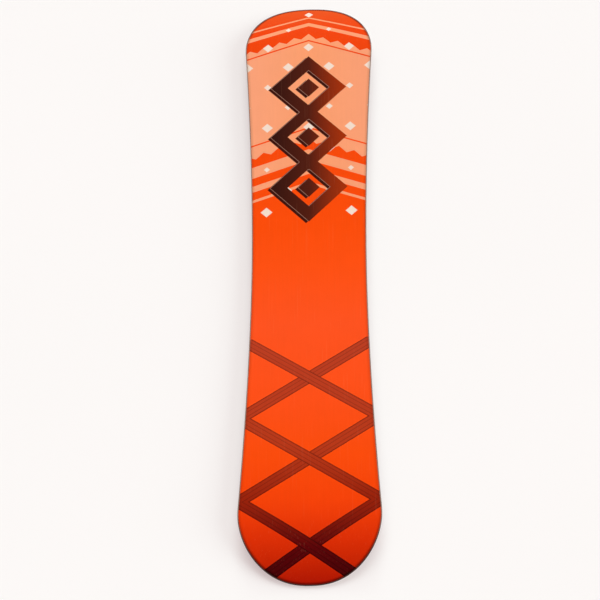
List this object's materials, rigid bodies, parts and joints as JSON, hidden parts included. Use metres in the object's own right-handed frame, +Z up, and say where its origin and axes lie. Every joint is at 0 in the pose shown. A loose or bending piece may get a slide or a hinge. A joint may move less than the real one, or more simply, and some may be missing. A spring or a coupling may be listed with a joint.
{
  "type": "snowboard",
  "caption": "Twin-tip snowboard without bindings, lying base up, with its laminated layers, steel edges, wood core and threaded binding inserts as separate pieces.",
  "frame": {"origin": "on the ground plane under the middle of the board, which lies base up as in the picture", "axes": "+Z up, out of the running surface; +Y along the board to the nose; +X across it, to the right edge"},
  "size_m": [0.293, 1.5, 0.0365],
  "materials": {
    "base_plastic": "sintered polyethylene base, satin, printed orange",
    "edge_steel": "dark ground steel",
    "rubber": "matt black foil",
    "glass_laminate": "glass fibre cloth in epoxy resin",
    "core_wood": "sanded poplar",
    "sidewall_plastic": "black ABS, planed",
    "topsheet_plastic": "dark polyamide sheet, satin",
    "insert_steel": "zinc-plated steel"
  },
  "bodies": {
    "root": {"base_sheet": "base_plastic", "left_steel_edge": "edge_steel", "right_steel_edge": "edge_steel", "left_rubber_strip": "rubber", "right_rubber_strip": "rubber", "lower_glass_laminate": "glass_laminate", "core_stringer_01": "core_wood", "core_stringer_02": "core_wood", "core_stringer_03": "core_wood", "core_stringer_04": "core_wood", "core_stringer_05": "core_wood", "core_stringer_06": "core_wood", "core_stringer_07": "core_wood", "core_stringer_08": "core_wood", "core_stringer_09": "core_wood", "core_stringer_10": "core_wood", "core_stringer_11": "core_wood", "left_sidewall": "sidewall_plastic", "right_sidewall": "sidewall_plastic", "nose_spacer": "sidewall_plastic", "tail_spacer": "sidewall_plastic", "upper_glass_laminate": "glass_laminate", "topsheet": "topsheet_plastic", "front_insert_left_1": "insert_steel", "front_insert_left_2": "insert_steel", "front_insert_left_3": "insert_steel", "front_insert_left_4": "insert_steel", "front_insert_left_5": "insert_steel", "front_insert_right_1": "insert_steel", "front_insert_right_2": "insert_steel", "front_insert_right_3": "insert_steel", "front_insert_right_4": "insert_steel", "front_insert_right_5": "insert_steel", "rear_insert_left_1": "insert_steel", "rear_insert_left_2": "insert_steel", "rear_insert_left_3": "insert_steel", "rear_insert_left_4": "insert_steel", "rear_insert_left_5": "insert_steel", "rear_insert_right_1": "insert_steel", "rear_insert_right_2": "insert_steel", "rear_insert_right_3": "insert_steel", "rear_insert_right_4": "insert_steel", "rear_insert_right_5": "insert_steel"}
  },
  "joints": []
}
